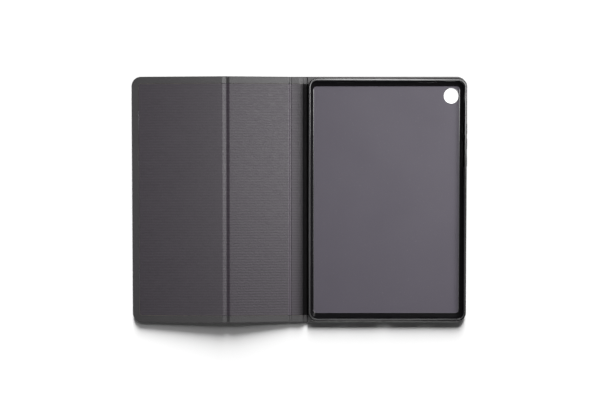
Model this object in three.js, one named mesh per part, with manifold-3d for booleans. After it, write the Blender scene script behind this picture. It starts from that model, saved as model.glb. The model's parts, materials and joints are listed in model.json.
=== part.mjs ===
// Folio case for a 10.5-inch class tablet, lying open on its outer face.
// Millimetres, +Z up. The origin is under the middle of the open case, at the level of its outer face.
// From -X to +X: outer cover panel, cover fold, inner cover panel, front fold, spine, back fold, back.
// Each stiff panel is a board wrapped in an outer skin, whose edge is turned in over the board as a hem,
// with a lining that fills the frame of that hem. The folds are soft strips of skin and lining alone.
// The cover fold keeps a little of its set, so the two cover panels lie as a very low ridge.

import * as THREE from 'three';
import { mergeVertices } from 'three/addons/utils/BufferGeometryUtils.js';
import Module from 'manifold-3d';

const wasm = await Module();
wasm.setup();

// ---------- driving dimensions ----------

// Widths along X, in order from the free edge of the cover
const OUTER_PANEL_WIDTH = 93.25;
const COVER_FOLD_WIDTH = 9.4;
const INNER_PANEL_WIDTH = 59.2;
const FRONT_FOLD_WIDTH = 4.2;
const SPINE_WIDTH = 10.9;
const BACK_FOLD_WIDTH = 5.8;
const BACK_WIDTH = 163.9;
const CASE_HEIGHT = 255;
const CASE_CORNER_RADIUS = 10;

// Layers of a panel, from the outer face up
const SKIN_THICKNESS = 0.7;
const BOARD_THICKNESS = 1.0;
const LINING_THICKNESS = 0.5;
const GLUE_LINE = 0.1;
const HEM_WIDTH = 7.2;
const CLEARANCE = 0.3;

// Hinge lines of the cover, above the outer face, and the slope of the inner panel as it lies
const COVER_HINGE_HEIGHT = 1.2;
const INNER_PANEL_TILT = THREE.MathUtils.degToRad(3);

// Tray that holds the tablet
const TRAY_WIDTH = 162;
const TRAY_HEIGHT = 249;
const TRAY_DEPTH = 10.4;
const TRAY_CORNER_RADIUS = 9;
const TRAY_FLOOR = 1.3;
const TRAY_WALL = 1.5;
const TRAY_END_WALL_EXTRA = 0.6;
const TRAY_SIDE_OFFSET = 0;
const ADHESIVE_THICKNESS = 0.15;
const ADHESIVE_MARGIN = 4;

// Camera window through the back and the tray floor
const CAMERA_RADIUS = 7.9;
const CAMERA_X = 157.2;
const CAMERA_Y = 107.6;

// Openings in the tray's walls, measured from the tray's middle
const WALL_OPENING_BASE = 3.0;
const SPEAKER_SLOT_LENGTH = 20;
const SPEAKER_SLOT_HEIGHT = 2.6;
const SPEAKER_SPACING = 84.4;
const PORT_LENGTH = 16;
const PORT_OFFSET = -2.4;
const PORT_HEIGHT = 5.6;
const CARD_SLOT_LENGTH = 17.4;
const CARD_SLOT_Y = 22;

// Button covers in the tray's right wall
const BUTTON_HEIGHT = 4.2;
const BUTTON_CENTRE_Z = 5.2;
const BUTTON_PROUD = 0.9;
const POWER_LENGTH = 11.6;
const POWER_Y = 73.3;
const VOLUME_LENGTH = 29.4;
const VOLUME_Y = 48.9;

// Magnets let into the outer panel's board along its free edge
const MAGNET_LENGTH = 20;
const MAGNET_WIDTH = 6;
const SLEEP_MAGNET_RADIUS = 4;
const MAGNET_EDGE_DISTANCE = 10;
const CLOSING_MAGNET_Y = 82;
const SLEEP_MAGNET_Y = 38;

// ---------- dimensions that follow ----------

const BOARD_BASE = SKIN_THICKNESS + GLUE_LINE;
const LINING_BASE = BOARD_BASE + BOARD_THICKNESS + GLUE_LINE;
const PANEL_THICKNESS = LINING_BASE + LINING_THICKNESS;
const OPEN_WIDTH = OUTER_PANEL_WIDTH + COVER_FOLD_WIDTH + INNER_PANEL_WIDTH + FRONT_FOLD_WIDTH
  + SPINE_WIDTH + BACK_FOLD_WIDTH + BACK_WIDTH;
const OUTER_PANEL_X = -OPEN_WIDTH / 2;
const COVER_FOLD_X = OUTER_PANEL_X + OUTER_PANEL_WIDTH;
const INNER_PANEL_X = COVER_FOLD_X + COVER_FOLD_WIDTH;
const FRONT_FOLD_X = INNER_PANEL_X + INNER_PANEL_WIDTH;
const SPINE_X = FRONT_FOLD_X + FRONT_FOLD_WIDTH;
const BACK_FOLD_X = SPINE_X + SPINE_WIDTH;
const BACK_X = BACK_FOLD_X + BACK_FOLD_WIDTH;
const FRONT_HINGE_X = FRONT_FOLD_X + FRONT_FOLD_WIDTH / 2;
const COVER_HINGE_X = COVER_FOLD_X + COVER_FOLD_WIDTH / 2;
const ADHESIVE_BASE = PANEL_THICKNESS + GLUE_LINE;
const TRAY_BASE = ADHESIVE_BASE + ADHESIVE_THICKNESS + GLUE_LINE;
const TRAY_X = BACK_X + TRAY_SIDE_OFFSET + TRAY_WIDTH / 2;
const CORNER_STEPS = 6;
const CUT_MARGIN = 1;

// The outer panel slopes down from the cover hinge until its free edge meets the surface
function outerPanelTilt() {
  const hingeRise = COVER_HINGE_HEIGHT + (FRONT_HINGE_X - COVER_HINGE_X) * Math.sin(INNER_PANEL_TILT);
  const reach = COVER_HINGE_X - OUTER_PANEL_X;
  const edgeAngle = Math.atan2(COVER_HINGE_HEIGHT, reach);
  return Math.asin(hingeRise / Math.hypot(reach, COVER_HINGE_HEIGHT)) - edgeAngle;
}

// ---------- materials ----------

function material(color, roughness, metalness = 0) {
  return new THREE.MeshStandardMaterial({ color, roughness, metalness });
}

const SKIN_COLOUR = 0x3c3a3e;
const LINING_COLOUR = 0x57535a;
const BOARD_COLOUR = 0x8a8376;
const TRAY_COLOUR = 0x1c1b1e;
const ADHESIVE_COLOUR = 0xb9b4a6;
const MAGNET_COLOUR = 0x9a9ba0;

// ---------- solids ----------

function solidFrom(geometry) {
  const bare = geometry.clone();
  bare.deleteAttribute('normal');
  bare.deleteAttribute('uv');
  const merged = mergeVertices(bare, 1e-4);
  return new wasm.Manifold(new wasm.Mesh({
    numProp: 3,
    vertProperties: merged.attributes.position.array,
    triVerts: new Uint32Array(merged.index.array),
  }));
}

function geometryFrom(solid) {
  const mesh = solid.getMesh();
  const geometry = new THREE.BufferGeometry();
  geometry.setAttribute('position', new THREE.BufferAttribute(mesh.vertProperties, 3));
  geometry.setIndex(new THREE.BufferAttribute(mesh.triVerts, 1));
  geometry.computeVertexNormals();
  return geometry;
}

function subtract(geometry, ...cutters) {
  let solid = solidFrom(geometry);
  for (const cutter of cutters) solid = solid.subtract(solidFrom(cutter));
  return geometryFrom(solid);
}

function namedMesh(name, geometry, meshMaterial) {
  const mesh = new THREE.Mesh(geometry, meshMaterial);
  mesh.name = name;
  return mesh;
}

// Rectangle from (x0, y0) to (x1, y1) with its own corner radius at the left and at the right
function roundedShape(x0, y0, x1, y1, leftRadius, rightRadius) {
  const shape = new THREE.Shape();
  shape.moveTo(x0 + leftRadius, y0);
  shape.lineTo(x1 - rightRadius, y0);
  if (rightRadius > 0) shape.absarc(x1 - rightRadius, y0 + rightRadius, rightRadius, -Math.PI / 2, 0);
  shape.lineTo(x1, y1 - rightRadius);
  if (rightRadius > 0) shape.absarc(x1 - rightRadius, y1 - rightRadius, rightRadius, 0, Math.PI / 2);
  shape.lineTo(x0 + leftRadius, y1);
  if (leftRadius > 0) shape.absarc(x0 + leftRadius, y1 - leftRadius, leftRadius, Math.PI / 2, Math.PI);
  shape.lineTo(x0, y0 + leftRadius);
  if (leftRadius > 0) shape.absarc(x0 + leftRadius, y0 + leftRadius, leftRadius, Math.PI, 1.5 * Math.PI);
  return shape;
}

function plate(shape, base, top) {
  const geometry = new THREE.ExtrudeGeometry(shape, {
    depth: top - base,
    bevelEnabled: false,
    curveSegments: CORNER_STEPS,
  });
  return geometry.translate(0, 0, base);
}

function cylinderCutter(x, y, radius, base, top) {
  const geometry = new THREE.CylinderGeometry(radius, radius, top - base, 32);
  return geometry.rotateX(Math.PI / 2).translate(x, y, (base + top) / 2);
}

// ---------- stiff panels ----------

// A panel's outline in its own frame: x runs from 0 to its width, y is centred, and a free side is
// rounded at both ends. Insets shrink the outline at the free edges and at the fold edges.
function panelShape(panel, freeInset, foldInset) {
  const leftInset = panel.freeSide === 'left' ? freeInset : foldInset;
  const rightInset = panel.freeSide === 'right' ? freeInset : foldInset;
  const radius = Math.max(CASE_CORNER_RADIUS - freeInset, 1.5);
  const halfHeight = CASE_HEIGHT / 2 - freeInset;
  return roundedShape(
    leftInset,
    -halfHeight,
    panel.width - rightInset,
    halfHeight,
    panel.freeSide === 'left' ? radius : 0,
    panel.freeSide === 'right' ? radius : 0,
  );
}

function cameraCutter(panel, extra) {
  return cylinderCutter(
    CAMERA_X - panel.x,
    CAMERA_Y,
    CAMERA_RADIUS + extra,
    -CUT_MARGIN,
    PANEL_THICKNESS + CUT_MARGIN,
  );
}

function panelSkin(panel) {
  const body = plate(panelShape(panel, 0, 0), 0, PANEL_THICKNESS);
  const boardSpace = plate(panelShape(panel, SKIN_THICKNESS, -CUT_MARGIN), SKIN_THICKNESS, LINING_BASE);
  const hemFrame = plate(
    panelShape(panel, HEM_WIDTH, -CUT_MARGIN),
    SKIN_THICKNESS + GLUE_LINE,
    PANEL_THICKNESS + CUT_MARGIN,
  );
  const cutters = [boardSpace, hemFrame];
  if (panel.hasCamera) cutters.push(cameraCutter(panel, 0));
  return subtract(body, ...cutters);
}

function panelBoard(panel) {
  const shape = panelShape(panel, SKIN_THICKNESS + GLUE_LINE, GLUE_LINE);
  const body = plate(shape, BOARD_BASE, BOARD_BASE + BOARD_THICKNESS);
  const cutters = [...panel.boardCutters];
  if (panel.hasCamera) cutters.push(cameraCutter(panel, CLEARANCE));
  return cutters.length > 0 ? subtract(body, ...cutters) : body;
}

function panelLining(panel) {
  const body = plate(panelShape(panel, HEM_WIDTH + CLEARANCE, 0), LINING_BASE, PANEL_THICKNESS);
  return panel.hasCamera ? subtract(body, cameraCutter(panel, 0)) : body;
}

function makePanel(name, x, width, options = {}) {
  const panel = { x, width, freeSide: null, hasCamera: false, boardCutters: [], ...options };
  const group = new THREE.Group();
  group.position.x = x;
  group.add(namedMesh(`${name}_skin`, panelSkin(panel), material(SKIN_COLOUR, 0.6)));
  group.add(namedMesh(`${name}_board`, panelBoard(panel), material(BOARD_COLOUR, 0.9)));
  group.add(namedMesh(`${name}_lining`, panelLining(panel), material(LINING_COLOUR, 0.8)));
  return group;
}

// ---------- soft folds ----------

// The skin runs the whole height of the case, and the lining stops short of it by the hem
function makeFold(name, x, width) {
  const group = new THREE.Group();
  group.position.x = x + width / 2;
  const halfWidth = width / 2 - CLEARANCE;
  const skinHalf = CASE_HEIGHT / 2;
  const liningHalf = skinHalf - HEM_WIDTH - CLEARANCE;
  const skin = plate(
    roundedShape(-halfWidth, -skinHalf, halfWidth, skinHalf, 0, 0),
    0,
    SKIN_THICKNESS,
  );
  const lining = plate(
    roundedShape(-halfWidth, -liningHalf, halfWidth, liningHalf, 0, 0),
    BOARD_BASE,
    BOARD_BASE + LINING_THICKNESS,
  );
  group.add(namedMesh(`${name}_skin`, skin, material(SKIN_COLOUR, 0.6)));
  group.add(namedMesh(`${name}_lining`, lining, material(LINING_COLOUR, 0.8)));
  return group;
}

// ---------- magnets in the outer panel ----------

const MAGNET_BASE = BOARD_BASE + GLUE_LINE / 2;
const MAGNET_TOP = BOARD_BASE + BOARD_THICKNESS - GLUE_LINE / 2;

function barMagnet(y, extra, base, top) {
  const halfWidth = MAGNET_WIDTH / 2 + extra;
  const halfLength = MAGNET_LENGTH / 2 + extra;
  const x = MAGNET_EDGE_DISTANCE;
  return plate(
    roundedShape(x - halfWidth, y - halfLength, x + halfWidth, y + halfLength, 0, 0),
    base,
    top,
  );
}

function sleepMagnet(extra, base, top) {
  return cylinderCutter(MAGNET_EDGE_DISTANCE, SLEEP_MAGNET_Y, SLEEP_MAGNET_RADIUS + extra, base, top);
}

function magnetPockets() {
  const top = PANEL_THICKNESS;
  return [
    barMagnet(CLOSING_MAGNET_Y, CLEARANCE, 0, top),
    barMagnet(-CLOSING_MAGNET_Y, CLEARANCE, 0, top),
    sleepMagnet(CLEARANCE, 0, top),
  ];
}

function makeMagnets() {
  const group = new THREE.Group();
  const upper = barMagnet(CLOSING_MAGNET_Y, 0, MAGNET_BASE, MAGNET_TOP);
  const lower = barMagnet(-CLOSING_MAGNET_Y, 0, MAGNET_BASE, MAGNET_TOP);
  const sleep = sleepMagnet(0, MAGNET_BASE, MAGNET_TOP);
  group.add(namedMesh('closing_magnet_upper', upper, material(MAGNET_COLOUR, 0.35, 1)));
  group.add(namedMesh('closing_magnet_lower', lower, material(MAGNET_COLOUR, 0.35, 1)));
  group.add(namedMesh('sleep_magnet', sleep, material(MAGNET_COLOUR, 0.35, 1)));
  return group;
}

// ---------- tray ----------

// Points of the tray's outline shrunk by an inset, anticlockwise, at one height
function trayRing(inset, z, endExtra) {
  const halfWidth = TRAY_WIDTH / 2 - inset;
  const halfHeight = TRAY_HEIGHT / 2 - inset - endExtra;
  const radius = Math.max(TRAY_CORNER_RADIUS - inset, 1.5);
  const points = [];
  const corners = [
    [halfWidth - radius, halfHeight - radius, 0],
    [-halfWidth + radius, halfHeight - radius, Math.PI / 2],
    [-halfWidth + radius, -halfHeight + radius, Math.PI],
    [halfWidth - radius, -halfHeight + radius, 1.5 * Math.PI],
  ];
  for (const [x, y, start] of corners) {
    for (let step = 0; step <= CORNER_STEPS; step += 1) {
      const angle = start + (step / CORNER_STEPS) * (Math.PI / 2);
      points.push(new THREE.Vector3(x + radius * Math.cos(angle), y + radius * Math.sin(angle), z));
    }
  }
  return points;
}

// Closed solid through a stack of rings with the same number of points, lowest ring first
function loft(rings) {
  const count = rings[0].length;
  const indices = [];
  for (let level = 0; level < rings.length - 1; level += 1) {
    for (let i = 0; i < count; i += 1) {
      const a = level * count + i;
      const b = level * count + ((i + 1) % count);
      indices.push(a, b, b + count, a, b + count, a + count);
    }
  }
  const last = (rings.length - 1) * count;
  for (let i = 1; i < count - 1; i += 1) {
    indices.push(0, i + 1, i);
    indices.push(last, last + i, last + i + 1);
  }
  const geometry = new THREE.BufferGeometry();
  geometry.setFromPoints(rings.flat());
  geometry.setIndex(indices);
  return geometry;
}

// Outer wall: drawn in at the foot, upright, then rolled in to the rim. Each pair is inset and height.
const TRAY_OUTSIDE = [[1.6, 0], [0.6, 0.6], [0, 2.2], [0, 7.6], [0.25, 9.2], [0.8, 10.1], [1.4, TRAY_DEPTH]];

// Pocket: a flat floor, a wide fillet, an upright wall, and a lip that holds the tablet's edge
const TRAY_POCKET = [
  [TRAY_WALL + 3.6, TRAY_FLOOR],
  [TRAY_WALL + 1.7, TRAY_FLOOR + 0.5],
  [TRAY_WALL + 0.5, TRAY_FLOOR + 1.7],
  [TRAY_WALL, TRAY_FLOOR + 3.6],
  [TRAY_WALL, 8.0],
  [TRAY_WALL + 0.9, 9.0],
  [TRAY_WALL + 0.9, 9.9],
  [TRAY_WALL + 0.4, TRAY_DEPTH + 0.1],
];

// Slot with round ends along X, cut through a wall that runs along X
function slotAlongX(x, y, z, length, height, depth) {
  const shape = roundedShape(-length / 2, -height / 2, length / 2, height / 2, height / 2.2, height / 2.2);
  const geometry = new THREE.ExtrudeGeometry(shape, { depth, bevelEnabled: false, curveSegments: 4 });
  return geometry.translate(0, 0, -depth / 2).rotateX(Math.PI / 2).translate(x, y, z);
}

function slotAlongY(x, y, z, length, height, depth) {
  return slotAlongX(0, 0, 0, length, height, depth).rotateZ(Math.PI / 2).translate(x, y, z);
}

function trayShell() {
  const outside = loft(TRAY_OUTSIDE.map(([inset, z]) => trayRing(inset, z, 0)));
  const pocket = loft(TRAY_POCKET.map(([inset, z]) => trayRing(inset, z, TRAY_END_WALL_EXTRA)));
  const cutDepth = 9;
  const cutters = [pocket];
  const slotZ = WALL_OPENING_BASE + SPEAKER_SLOT_HEIGHT / 2;
  for (const end of [-1, 1]) {
    for (const side of [-1, 1]) {
      cutters.push(slotAlongX(
        side * SPEAKER_SPACING / 2,
        end * TRAY_HEIGHT / 2,
        slotZ,
        SPEAKER_SLOT_LENGTH,
        SPEAKER_SLOT_HEIGHT,
        cutDepth,
      ));
    }
  }
  const portZ = WALL_OPENING_BASE + PORT_HEIGHT / 2;
  cutters.push(slotAlongX(PORT_OFFSET, -TRAY_HEIGHT / 2, portZ, PORT_LENGTH, PORT_HEIGHT, cutDepth));
  const wallX = TRAY_WIDTH / 2;
  cutters.push(slotAlongY(wallX, CARD_SLOT_Y, slotZ, CARD_SLOT_LENGTH, SPEAKER_SLOT_HEIGHT, cutDepth));
  for (const [y, length] of [[POWER_Y, POWER_LENGTH], [VOLUME_Y, VOLUME_LENGTH]]) {
    const windowLength = length + 2 * CLEARANCE;
    const windowHeight = BUTTON_HEIGHT + 2 * CLEARANCE;
    cutters.push(slotAlongY(wallX, y, BUTTON_CENTRE_Z, windowLength, windowHeight, cutDepth));
  }
  const cameraX = CAMERA_X - TRAY_X;
  cutters.push(cylinderCutter(cameraX, CAMERA_Y, CAMERA_RADIUS, -CUT_MARGIN, TRAY_FLOOR + CUT_MARGIN));
  return subtract(outside, ...cutters);
}

// A soft pad as long as its button, flush with the wall's inner face and proud of its outer face
function buttonCover(y, length) {
  const bevel = 0.35;
  const depth = TRAY_WALL + BUTTON_PROUD;
  const radius = BUTTON_HEIGHT / 2.2 - bevel;
  const shape = roundedShape(
    -length / 2 + bevel,
    -BUTTON_HEIGHT / 2 + bevel,
    length / 2 - bevel,
    BUTTON_HEIGHT / 2 - bevel,
    radius,
    radius,
  );
  const geometry = new THREE.ExtrudeGeometry(shape, {
    depth: depth - 2 * bevel,
    bevelThickness: bevel,
    bevelSize: bevel,
    bevelSegments: 2,
    curveSegments: 4,
  });
  geometry.translate(0, 0, bevel).rotateX(Math.PI / 2).rotateZ(Math.PI / 2);
  return geometry.translate(TRAY_WIDTH / 2 - TRAY_WALL, y, BUTTON_CENTRE_Z);
}

function makeTray() {
  const group = new THREE.Group();
  group.position.set(TRAY_X, 0, TRAY_BASE);
  const rubber = material(TRAY_COLOUR, 0.25);
  group.add(namedMesh('tray_shell', trayShell(), rubber));
  group.add(namedMesh('power_button_cover', buttonCover(POWER_Y, POWER_LENGTH), rubber));
  group.add(namedMesh('volume_button_cover', buttonCover(VOLUME_Y, VOLUME_LENGTH), rubber));
  return group;
}

// Double-sided sheet that bonds the tray's floor to the back's lining
function makeAdhesive() {
  const halfWidth = TRAY_WIDTH / 2 - ADHESIVE_MARGIN;
  const halfHeight = TRAY_HEIGHT / 2 - ADHESIVE_MARGIN;
  const shape = roundedShape(-halfWidth, -halfHeight, halfWidth, halfHeight, 3, 3);
  const sheet = plate(shape, 0, ADHESIVE_THICKNESS);
  const window = cylinderCutter(
    CAMERA_X - TRAY_X,
    CAMERA_Y,
    CAMERA_RADIUS + CLEARANCE,
    -CUT_MARGIN,
    CUT_MARGIN,
  );
  const mesh = namedMesh('tray_adhesive', subtract(sheet, window), material(ADHESIVE_COLOUR, 0.7));
  mesh.position.set(TRAY_X, 0, ADHESIVE_BASE);
  return mesh;
}

// ---------- the open case ----------

const outerPanel = makePanel('outer_panel', OUTER_PANEL_X, OUTER_PANEL_WIDTH, {
  freeSide: 'left',
  boardCutters: magnetPockets(),
});
outerPanel.add(makeMagnets());

// What turns with a hinge, given in the flat case's place, hangs in a group at that hinge
function makeHinge(x, parentX, angle, ...pieces) {
  const hinge = new THREE.Group();
  hinge.position.set(x - parentX, 0, 0);
  hinge.rotation.y = angle;
  for (const piece of pieces) {
    const offset = new THREE.Group();
    offset.position.set(-x, 0, -COVER_HINGE_HEIGHT);
    offset.add(piece);
    hinge.add(offset);
  }
  return hinge;
}

const ridgeAngle = INNER_PANEL_TILT + outerPanelTilt();
const coverHinge = makeHinge(COVER_HINGE_X, FRONT_HINGE_X, -ridgeAngle, outerPanel);
const coverFold = makeHinge(
  COVER_HINGE_X,
  FRONT_HINGE_X,
  -ridgeAngle / 2,
  makeFold('cover_fold', COVER_FOLD_X, COVER_FOLD_WIDTH),
);
const frontHinge = makeHinge(
  FRONT_HINGE_X,
  0,
  INNER_PANEL_TILT,
  makePanel('inner_panel', INNER_PANEL_X, INNER_PANEL_WIDTH),
);
frontHinge.position.z = COVER_HINGE_HEIGHT;
frontHinge.add(coverFold, coverHinge);

const tabletCase = new THREE.Group();
tabletCase.add(frontHinge);
tabletCase.add(makeFold('front_fold', FRONT_FOLD_X, FRONT_FOLD_WIDTH));
tabletCase.add(makePanel('spine', SPINE_X, SPINE_WIDTH));
tabletCase.add(makeFold('back_fold', BACK_FOLD_X, BACK_FOLD_WIDTH));
tabletCase.add(makePanel('back', BACK_X, BACK_WIDTH, { freeSide: 'right', hasCamera: true }));
tabletCase.add(makeAdhesive());
tabletCase.add(makeTray());

export default tabletCase;
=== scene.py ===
"""An open folio case for a tablet: wrapped panels, pressed folds, ribbed lining, moulded tray."""

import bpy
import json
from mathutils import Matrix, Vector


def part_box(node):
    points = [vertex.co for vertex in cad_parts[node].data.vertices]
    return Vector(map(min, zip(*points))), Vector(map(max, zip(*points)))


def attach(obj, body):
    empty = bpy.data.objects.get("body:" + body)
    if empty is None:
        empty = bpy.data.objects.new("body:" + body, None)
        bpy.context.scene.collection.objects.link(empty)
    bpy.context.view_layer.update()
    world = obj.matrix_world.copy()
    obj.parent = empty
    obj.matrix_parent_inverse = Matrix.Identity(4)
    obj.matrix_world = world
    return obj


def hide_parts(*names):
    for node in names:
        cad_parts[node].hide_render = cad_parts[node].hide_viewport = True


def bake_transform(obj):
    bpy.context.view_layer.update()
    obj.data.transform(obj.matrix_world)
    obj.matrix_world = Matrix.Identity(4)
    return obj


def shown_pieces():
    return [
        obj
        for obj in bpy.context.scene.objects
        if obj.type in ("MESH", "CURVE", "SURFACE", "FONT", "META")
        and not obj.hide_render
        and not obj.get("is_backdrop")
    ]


bl_info = {
    "name": "Tablet Folio Case",
    "version": (1, 0, 0),
    "blender": (4, 5, 0),
    "location": "View3D > Sidebar > Folio Case",
    "description": "Builds the skins, lining, tray and button covers of a tablet case round its packed frame",
    "category": "Add Mesh",
}

import json
import math

import bmesh
import bpy
from mathutils import Matrix, Vector

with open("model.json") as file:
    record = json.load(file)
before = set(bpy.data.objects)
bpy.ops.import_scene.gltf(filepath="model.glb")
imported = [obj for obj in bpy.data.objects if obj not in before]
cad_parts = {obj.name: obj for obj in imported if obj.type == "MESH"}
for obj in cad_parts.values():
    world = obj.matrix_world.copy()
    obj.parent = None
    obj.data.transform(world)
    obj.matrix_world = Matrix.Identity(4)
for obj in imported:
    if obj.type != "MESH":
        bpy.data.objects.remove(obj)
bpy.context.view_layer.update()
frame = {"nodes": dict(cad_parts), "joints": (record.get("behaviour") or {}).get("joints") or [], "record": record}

# ---------------------------------------------------------------- places taken from the frame

HINGES = {joint["name"]: Vector(joint["pos_m"]) for joint in frame["joints"] if joint["type"] == "hinge"}
FRONT_HINGE = HINGES["front_fold"]
COVER_HINGE = HINGES["cover_fold"]
HINGE_HEIGHT = FRONT_HINGE.z
HINGE_SPAN = (COVER_HINGE - FRONT_HINGE).length

BACK_LOW, BACK_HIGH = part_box("back_skin")
SPINE_LOW, SPINE_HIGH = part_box("spine_skin")
FRONT_STRIP_LOW, FRONT_STRIP_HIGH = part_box("front_fold_skin")
BACK_STRIP_LOW, BACK_STRIP_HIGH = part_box("back_fold_skin")
COVER_STRIP_LOW, COVER_STRIP_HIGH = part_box("cover_fold_skin")
OUTER_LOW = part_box("outer_panel_skin")[0]
LINING_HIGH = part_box("outer_panel_lining")[1]
TRAY_LOW, TRAY_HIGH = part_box("tray_shell")
POWER_LOW, POWER_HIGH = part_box("power_button_cover")
VOLUME_LOW, VOLUME_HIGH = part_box("volume_button_cover")

# How far the inner panel leans up to the cover fold, and the outer panel down from it.
INNER_LEAN = math.atan2(COVER_HINGE.z - FRONT_HINGE.z, FRONT_HINGE.x - COVER_HINGE.x)
OUTER_REACH = COVER_HINGE.x - OUTER_LOW.x
OUTER_LEAN = math.asin(COVER_HINGE.z / math.hypot(OUTER_REACH, HINGE_HEIGHT)) - math.atan2(
    HINGE_HEIGHT, OUTER_REACH
)

# Along X with the whole case laid flat, each piece runs from one of these lines to the next.
FLAT_COVER_HINGE_X = FRONT_HINGE.x - HINGE_SPAN
STRIP_GAP = SPINE_LOW.x - FRONT_STRIP_HIGH.x
COVER_STRIP_HALF = (COVER_STRIP_HIGH.x - COVER_STRIP_LOW.x + STRIP_GAP) / 2
OUTER_EDGE_X = FLAT_COVER_HINGE_X - OUTER_REACH
COVER_FOLD_LEFT_X = FLAT_COVER_HINGE_X - COVER_STRIP_HALF
COVER_FOLD_RIGHT_X = FLAT_COVER_HINGE_X + COVER_STRIP_HALF
FRONT_FOLD_LEFT_X = FRONT_STRIP_LOW.x - STRIP_GAP / 2
FRONT_FOLD_RIGHT_X = (FRONT_STRIP_HIGH.x + SPINE_LOW.x) / 2
BACK_FOLD_LEFT_X = (SPINE_HIGH.x + BACK_STRIP_LOW.x) / 2
BACK_FOLD_RIGHT_X = (BACK_STRIP_HIGH.x + BACK_LOW.x) / 2
BACK_EDGE_X = BACK_HIGH.x

CASE_HEIGHT = BACK_HIGH.y - BACK_LOW.y
PANEL_THICKNESS = BACK_HIGH.z - BACK_LOW.z
LINING_INSET = CASE_HEIGHT / 2 - LINING_HIGH.y
TRAY_CENTRE = (TRAY_LOW + TRAY_HIGH) / 2

SMALL = 1e-6
BEYOND = 0.02  # how far a panel is first made past a fold, where it is then cut off

SPINE_COLUMNS = 24  # the spine is cut into columns, because its edge beside the tray rolls down
BUTTON_CLEARANCE = 0.0003  # between a button cover and the wall round it
WALL_REACH = 0.004  # how far a cutter goes to each side of the wall's outer face
WINDOW_BEVEL = 0.0003  # bevel round the camera window's upper edge
ROCKER_DIP = 0.00035  # how much lower the middle of the volume button is than its ends

# Places across a fold, as shares of its width.
COVER_GROOVE_START = 0.08
COVER_GROOVE_WIDTH = 0.88
CREASE_DEEPEST = 0.62
# Where the painted highlight and the rubbing along the front fold's creases are strongest.
CREASE_BRIGHTEST_AND_MOST_WORN = 0.35
GAP_DOWN_BY = 0.4
GAP_UP_FROM = 0.82

# Soft panel lights over and under the case: name, place, width and height, watts.
PANEL_LIGHTS = (
    ("side_softbox", (0.53, 0.17, 0.53), (0.70, 0.26), 3.3),
    ("upper_softbox", (0.23, 0.30, 1.05), (0.50, 0.20), 5.0),
    ("overhead_softbox", (0.115, -0.12, 1.05), (0.53, 0.66), 2.0),
    ("lower_light", (0.25, -0.3, -0.9), (0.9, 0.9), 9.0),
)

# The camera looks down on the open case, a little from its upper end.
SEEN_FROM = Vector((0.0011, 0.0157, 0.668))
LOOKED_AT = Vector((0.0011, 0.0, 0.0))
SEEN_WIDTH = 0.6245  # width of the table that fits in the picture
SENSOR_WIDTH = 36.0

TABLE_SIZE = 12.0
TABLE_DROP = 0.0002  # how far the table lies under the case


# ---------------------------------------------------------------- sizes and colours


def length(name, description, default, precision=2):
    return bpy.props.FloatProperty(
        name=name,
        description=description,
        default=default,
        min=0.0,
        unit="LENGTH",
        subtype="DISTANCE",
        precision=precision,
    )


def colour(name, description, default):
    return bpy.props.FloatVectorProperty(
        name=name,
        description=description,
        default=default,
        min=0.0,
        max=1.0,
        size=3,
        subtype="COLOR",
    )


class FolioCoverSizes(bpy.types.PropertyGroup):
    corner_radius: length("Corner radius", "Radius of the cover's outer corners, seen from above", 0.010)
    rim_radius: length("Rim radius", "Rounding of the skin where it turns over the board's edge", 0.001)
    skin_thickness: length("Skin thickness", "Thickness of the imitation leather", 0.0004)
    hem_width: length("Hem width", "How far the skin is turned in over the board", 0.0072)
    lining_thickness: length("Lining thickness", "Thickness of the ribbed lining", 0.0003)
    lining_drop: length("Lining drop", "How much lower the lining lies than the hem round it", 0.0001)
    groove_depth: length("Groove depth", "Depth of the pressed groove at the cover fold", 0.00108)
    crease_depth: length("Crease depth", "Depth of each of the two creases at the front fold", 0.00018)
    gap_depth: length("Gap depth", "Depth of the groove between spine and tray", 0.00125)
    roll_width: length("Roll width", "How far into the spine its edge beside the tray rolls down", 0.0042)
    roll_depth: length("Roll depth", "How far the spine's edge beside the tray rolls down", 0.00045)
    outer_groove_depth: length("Outer groove depth", "Depth of the folds on the outer face", 0.0005)


class FolioTraySizes(bpy.types.PropertyGroup):
    corner_radius: length("Corner radius", "Radius of the tray's corners, seen from above", 0.009)
    floor_thickness: length("Floor thickness", "Thickness of the tray's floor", 0.0013)
    end_wall_extra: length("End wall extra", "How much wider the two end walls are at their foot", 0.0022)
    camera_radius: length("Camera window radius", "Radius of the hole for the camera", 0.0079)
    speaker_length: length("Speaker slot length", "Length of each of the four speaker slots", 0.020)
    speaker_height: length("Speaker slot height", "Height of the speaker and card slots", 0.0026)
    speaker_offset: length("Speaker slot offset", "From the tray's middle to each speaker slot", 0.0422)
    port_length: length("Port length", "Length of the cutout for the plug", 0.016)
    port_height: length("Port height", "Height of the cutout for the plug", 0.0056)
    card_length: length("Card slot length", "Length of the card slot in the right wall", 0.0174)
    card_offset: length("Card slot offset", "From the tray's middle to the card slot", 0.022)
    opening_base: length("Opening base", "Height of the wall openings over the tray's base", 0.003)


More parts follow.
